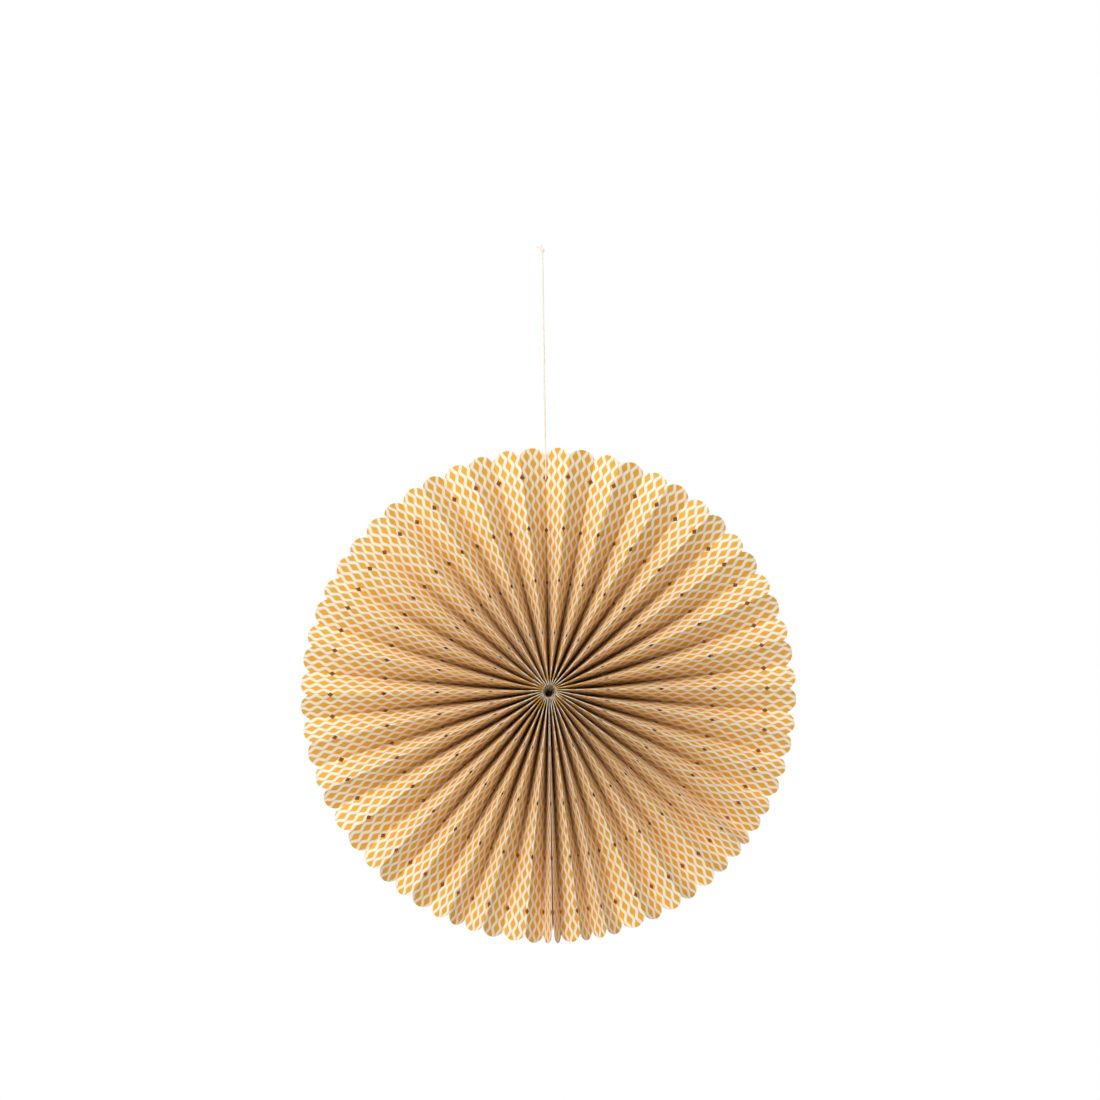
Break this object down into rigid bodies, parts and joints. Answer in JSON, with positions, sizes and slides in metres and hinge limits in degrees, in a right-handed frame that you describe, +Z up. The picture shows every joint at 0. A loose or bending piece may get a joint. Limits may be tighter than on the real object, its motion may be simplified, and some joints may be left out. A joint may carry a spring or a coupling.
{
  "type": "paper fan rosette",
  "caption": "Pleated paper fan opened to a full round rosette with a scalloped edge and diamond snips, hung on a loop of thread.",
  "frame": {"origin": "top of the thread loop, just under its knot, where a pin or hook goes through", "axes": "+Z up along the thread, -Y towards the printed front of the rosette, +X to the right as seen from the front"},
  "size_m": [0.3947, 0.0231, 0.5644],
  "materials": {
    "printed_paper": "ochre paper with a cream trellis print, uncoated, plain white on the back",
    "plain_card": "plain dark brown card, uncoated",
    "clear_glue": "dried white glue, slightly cloudy",
    "cotton_thread": "twisted cotton, matt"
  },
  "bodies": {
    "root": {"paper_strip_a": "printed_paper", "paper_strip_b": "printed_paper", "paper_strip_c": "printed_paper", "hub_disc": "plain_card", "seam_glue": "clear_glue", "hanging_thread": "cotton_thread", "thread_knot": "cotton_thread"}
  },
  "joints": []
}
